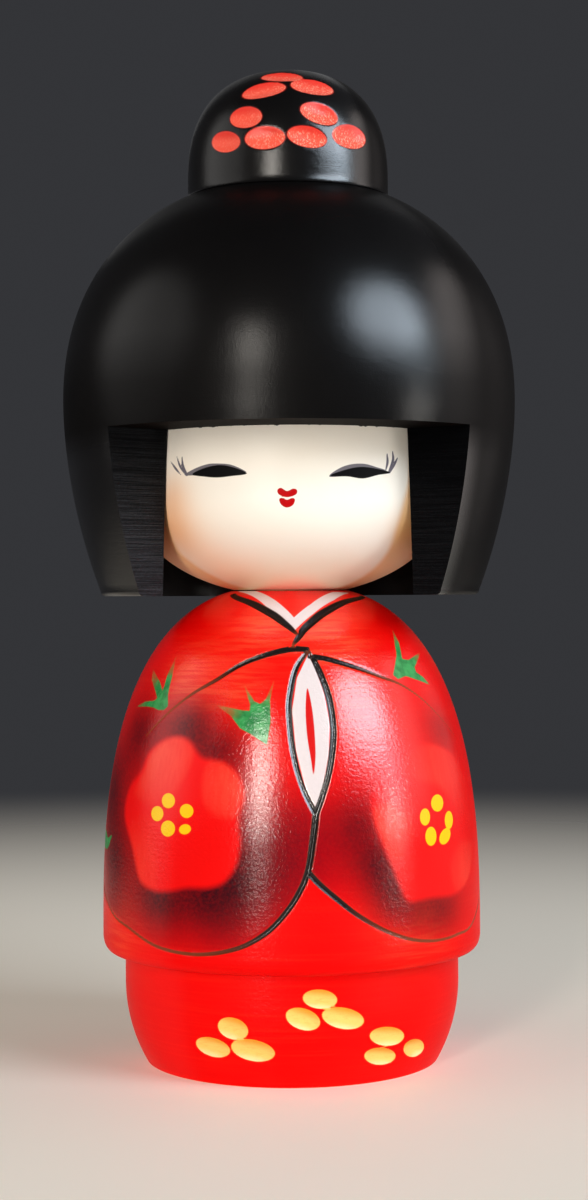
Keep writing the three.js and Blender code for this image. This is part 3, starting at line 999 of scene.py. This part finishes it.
def face_block():
    bowl = swell(FACE_RADIUS, FACE_WIDEST, FACE_SEAT_RADIUS, CHIN, 2)
    side = swell(FACE_RADIUS, FACE_WIDEST, FACE_RADIUS - FACE_TAPER, FACE_TOP, 2)
    skin = joined(spaced(bowl, FINE_STEP), spaced(side, FINE_STEP))
    neck, neck_top = NECK_RADIUS + DOWEL_FIT, NECK_TOP + DOWEL_RELIEF
    crown, crown_floor = CROWN_RADIUS + DOWEL_FIT, CROWN_BOTTOM - DOWEL_RELIEF
    outline = joined(
        hidden((0, neck_top), (neck, neck_top), (neck, CHIN)),
        spaced([(neck, CHIN), (FACE_SEAT_RADIUS, CHIN)], PLAIN_STEP),
        skin,
        hidden(skin[-1], (crown, FACE_TOP), (crown, crown_floor)),
        np.array([(crown, crown_floor), (0, crown_floor)]),
    )
    face = Turned(outline, skin, round_angles(FACE_RADIUS, FACE_ZONES))
    distance, half = nearest(face, [stroke(face, lash) for lash in LASHES])
    height = face.points[:, 2]
    face.fields = {
        "eye": filled(face, EYES),
        "lid": filled(face, LIDS),
        "lash": distance - half,
        "lip": filled(face, LIPS),
        "front": filled(face, [FACE_FRONT]),
        "blush_and_painted_light": puffs(face, CHEEK_BLUSH_AND_PAINTED_LIGHT),
        "chin_tint_and_bounce_light": np.clip((CHIN + CHIN_TINT_REACH - height) / CHIN_TINT_REACH, 0, 1) ** CHIN_TINT_FALL,
        "brim": FRINGE - height,
    }
    piece = face.build("face_block_painted", ivory_paint())
    hand_over(piece, "face_block", "head")


def hair_bun():
    dome = swell(BUN_RADIUS, BUN_WIDEST, 0, BUN_TOP, BUN_FULLNESS)
    flare = np.array([BUN_FLARE, BUN_FLARE_HEIGHT])
    foot = corner((1, 1), 1, -90, -180) * flare + [BUN_RADIUS, BUN_FOOT]
    hole, hole_top = PEG_RADIUS + DOWEL_FIT, PEG_TOP + DOWEL_RELIEF
    skin = joined(spaced(foot, FLARE_STEP), spaced([foot[-1], dome[0]], SKIN_STEP), spaced(dome, SKIN_STEP))
    outline = joined(hidden((0, hole_top), (hole, hole_top), (hole, BUN_FOOT), skin[0]), skin)
    bun = Turned(outline, skin, round_angles(BUN_RADIUS, BUN_ZONES))
    gouge, depth, rise = ovals(bun, BUN_PETALS, BUN_GOUGE)
    gloss = BUN_GLOSS * brushed_gloss(bun.angle, HAIR_GLOSS) * np.where(gouge < 0, GOUGE_GLOSS, 1)
    bun.fields = {"gouge": gouge, "rise": rise, "gloss": gloss}
    bun.sink(depth)
    piece = bun.build("hair_bun_gouged", bun_lacquer())
    hand_over(piece, "hair_bun", "head")


def hair_cap():
    """The bell, its bore and its sawn window, as rings of points that share their angles."""
    side = swell(HAIR_RADIUS, HAIR_WIDEST, RIM_RADIUS, RIM + RIM_ROUND, SIDE_FULLNESS)
    dome = swell(HAIR_RADIUS, HAIR_WIDEST, BUN_SEAT_RADIUS, BUN_SEAT, DOME_FULLNESS)
    rim = corner((RIM_RADIUS - RIM_ROUND, RIM + RIM_ROUND), RIM_ROUND, -90, -10)
    skin = joined(rim, spaced(side, PLAIN_STEP), spaced(dome, PLAIN_STEP))
    fringe_radius = np.interp(FRINGE, skin[:, 1], skin[:, 0])
    fringe_row = np.abs(skin[:, 1] - FRINGE).argmin()
    skin[fringe_row] = fringe_radius, FRINGE
    narrow = BORE_RADIUS - BORE_NARROWS
    bore_rows = [(RIM, BORE_RIM_RADIUS), (FACE_WIDEST, BORE_RADIUS), (FRINGE, narrow)]
    bore_heights = skin[:fringe_row + 1, 1]
    bore = np.stack([np.interp(bore_heights, *np.transpose(bore_rows)), bore_heights], 1)
    bore_top = FACE_TOP + BORE_CLEAR
    crown, crown_top = CROWN_RADIUS + DOWEL_FIT, CROWN_TOP + DOWEL_RELIEF
    hole, hole_floor = PEG_RADIUS + DOWEL_FIT, PEG_BOTTOM - DOWEL_RELIEF
    outer = joined(skin, hidden((BUN_SEAT_RADIUS, BUN_SEAT), (hole, BUN_SEAT), (hole, hole_floor)))
    above = hidden((narrow, FRINGE), (narrow, bore_top), (crown, bore_top), (crown, crown_top))
    inner = np.concatenate([bore, above[1:]])
    count = WINDOW_COLUMNS + 1 + SIDE_COLUMNS

    def ringed(rows, right_cut):
        """Rings of points, whose columns from 0 to WINDOW_COLUMNS are in front of the face."""
        window = np.linspace(-WINDOW_HALF_ANGLE, right_cut, WINDOW_COLUMNS + 1)
        rest = np.linspace(right_cut, 2 * math.pi - WINDOW_HALF_ANGLE, SIDE_COLUMNS + 2)[1:-1]
        return on_ring(rows[:, :1], np.concatenate([window, rest])[None, :], rows[:, 1:]).reshape(-1, 3)

    points = np.concatenate([
        ringed(outer, WINDOW_HALF_ANGLE),
        ringed(inner, WINDOW_HALF_ANGLE - SAW_LEAN),
        [[0, 0, hole_floor], [0, 0, crown_top]],
    ])
    start = len(outer) * count  # where the bore's points start
    skin_rings = ring_numbers(len(outer), count)
    bore_rings = ring_numbers(len(inner), count, start)
    tip = len(points) - 2
    below, beside, front = slice(fringe_row + 1), slice(WINDOW_COLUMNS, None), slice(WINDOW_COLUMNS + 1)
    faces = np.concatenate([
        strips(skin_rings[below, beside]),
        strips(skin_rings[fringe_row:]),
        strips(bore_rings[below, beside])[:, ::-1],
        strips(bore_rings[fringe_row:])[:, ::-1],
        strip(bore_rings[0, beside], skin_rings[0, beside]),
    ]).tolist()
    faces += fan(tip, skin_rings[-1]) + fan(tip + 1, bore_rings[-1, ::-1])
    fringe = strip(bore_rings[fringe_row, front], skin_rings[fringe_row, front]).tolist()
    sawn = np.concatenate([
        strip(skin_rings[below, 0], bore_rings[below, 0]),
        strip(bore_rings[below, WINDOW_COLUMNS], skin_rings[below, WINDOW_COLUMNS]),
    ]).tolist()
    used = sorted({index for face in faces + fringe + sawn for index in face})
    renumbered = {old: new for new, old in enumerate(used)}
    all_faces = [[renumbered[index] for index in face] for face in faces + fringe + sawn]
    materials = [black_lacquer("black_lacquer_hair", 0.006).done(), sawn_black(), fringe_black()]
    piece = make_object("hair_cap_lacquered", points[used], all_faces, materials)
    indices = [0] * len(faces) + [2] * len(fringe) + [1] * len(sawn)
    piece.data.polygons.foreach_set("material_index", indices)
    x, y, z = points[used].T
    angle = np.arctan2(x, -y)
    lock = np.interp(z, LOCK_TOP, [1, 0]) * np.interp(np.abs(np.degrees(angle)), LOCK_BACK, [1, 0])
    gloss = brushed_gloss(angle, HAIR_GLOSS) * (1 + (LOCK_GLOSS - 1) * lock)
    gloss *= np.interp(z, *np.transpose(HAIR_GLOSS_UP))
    keep_field(piece, "gloss", np.where(np.array(used) < start, gloss, BORE_GLOSS))
    hand_over(piece, "hair_cap", "head")


def dowels():
    """The dowels keep their solids, in a better material."""
    wood = bare_wood()
    for node in ("neck_dowel", "crown_dowel", "bun_dowel"):
        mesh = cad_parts[node].data
        mesh.materials.clear()
        mesh.materials.append(wood)


# Stage: a pale floor that fades into a plain backdrop, and soft boxes round the doll

BACKDROP = (0.034, 0.035, 0.039, 1)
FLOOR_RADIUS = 900
FLOOR_FADE = (120, 460)  # distances from the doll between which the floor ends
FLOOR_GLOW = 0.2  # how much paler the floor looks than the lamps make it
# Soft boxes: (name, azimuth, elevation, distance, width, height, power in watts, tint)
SOFT_BOXES = [
    ("left", -18, 15, 700, 105, 320, 1.85, (1.0, 0.94, 0.86)),
    ("low", -19, -1, 1200, 210, 90, 4.4, (1.0, 0.94, 0.86)),
    ("low_right", 66, -1, 1200, 210, 90, 2.0, (1.0, 0.95, 0.88)),
    ("fill", -80, 20, 700, 700, 700, 1.2, (1.0, 0.97, 0.94)),
    ("right", 53, 31, 700, 430, 380, 3.2, (0.76, 0.88, 1.0)),
    ("wide", 66, 15, 700, 220, 320, 0.5, (0.74, 0.88, 1.0)),
    ("rim", 105, 12, 700, 700, 800, 1.2, (1.0, 0.9, 0.86)),
    ("back", 180, 35, 800, 700, 600, 0.15, (1.0, 1.0, 1.0)),
]


def floor():
    points = [(x * FLOOR_RADIUS, y * FLOOR_RADIUS, 0) for x, y in ((-1, -1), (1, -1), (1, 1), (-1, 1))]
    paint = Paint("pale_floor", (236, 227, 212), 0.6)
    paint.over((228, 218, 202), paint.noise(60, detail=3), 0.3)
    material = paint.done()
    rays = paint.node("ShaderNodeLightPath")
    looked_at = paint.math("MAXIMUM", rays.outputs["Is Camera Ray"], rays.outputs["Is Glossy Ray"])
    paint.give("Emission Color", paint.colour)
    paint.give("Emission Strength", paint.product(looked_at, FLOOR_GLOW))
    distance = paint.node("ShaderNodeVectorMath", operation="LENGTH")
    paint.put(distance.inputs[0], paint.place)
    fade = paint.span(distance.outputs["Value"], FLOOR_FADE[0] * MM, FLOOR_FADE[1] * MM)
    clear = paint.node("ShaderNodeBsdfTransparent").outputs[0]
    blend = paint.fed(paint.node("ShaderNodeMixShader"), fade, paint.surface.outputs[0], clear)
    paint.put(paint.tree.nodes["Material Output"].inputs["Surface"], blend)
    make_object("floor", points, [(0, 1, 2, 3)], [material])


def soft_box(name, azimuth, elevation, distance, width, height, power, tint):
    """A soft box aimed at the doll's middle. Azimuth 0 is in front, and a quarter turn is to the right."""
    lamp = bpy.data.lights.new("soft_box_" + name, "AREA")
    lamp.shape = "ELLIPSE"
    lamp.size = width * MM
    lamp.size_y = height * MM
    lamp.energy = power
    lamp.color = tint
    turn, lift = math.radians(azimuth), math.radians(elevation)
    away = on_ring(distance * math.cos(lift), turn, distance * math.sin(lift))
    holder = bpy.data.objects.new(lamp.name, lamp)
    holder.location = (away + [0, 0, BODY_TOP]) * MM
    holder.rotation_euler = (math.pi / 2 - lift, 0, turn)
    holder.visible_camera = False
    bpy.context.scene.collection.objects.link(holder)


def light():
    world = bpy.data.worlds.new("backdrop")
    bpy.context.scene.world = world
    world.use_nodes = True
    world.node_tree.nodes["Background"].inputs["Color"].default_value = BACKDROP
    for row in SOFT_BOXES:
        soft_box(*row)


def camera():
    lens = bpy.data.cameras.new("camera")
    lens.sensor_width = SENSOR
    lens.lens = FOCAL_PIXELS / IMAGE_HEIGHT * SENSOR
    lens.clip_start = NEAREST_SEEN * MM
    holder = bpy.data.objects.new("camera", lens)
    holder.matrix_world = Matrix.Translation(CAMERA_PLACE * MM) @ camera_turn().to_4x4()
    bpy.context.scene.collection.objects.link(holder)
    bpy.context.scene.camera = holder


camera()
kimono_body()
face_block()
hair_cap()
hair_bun()
dowels()
floor()
light()
bpy.context.scene.view_settings.view_transform = "Standard"

bpy.context.view_layer.update()
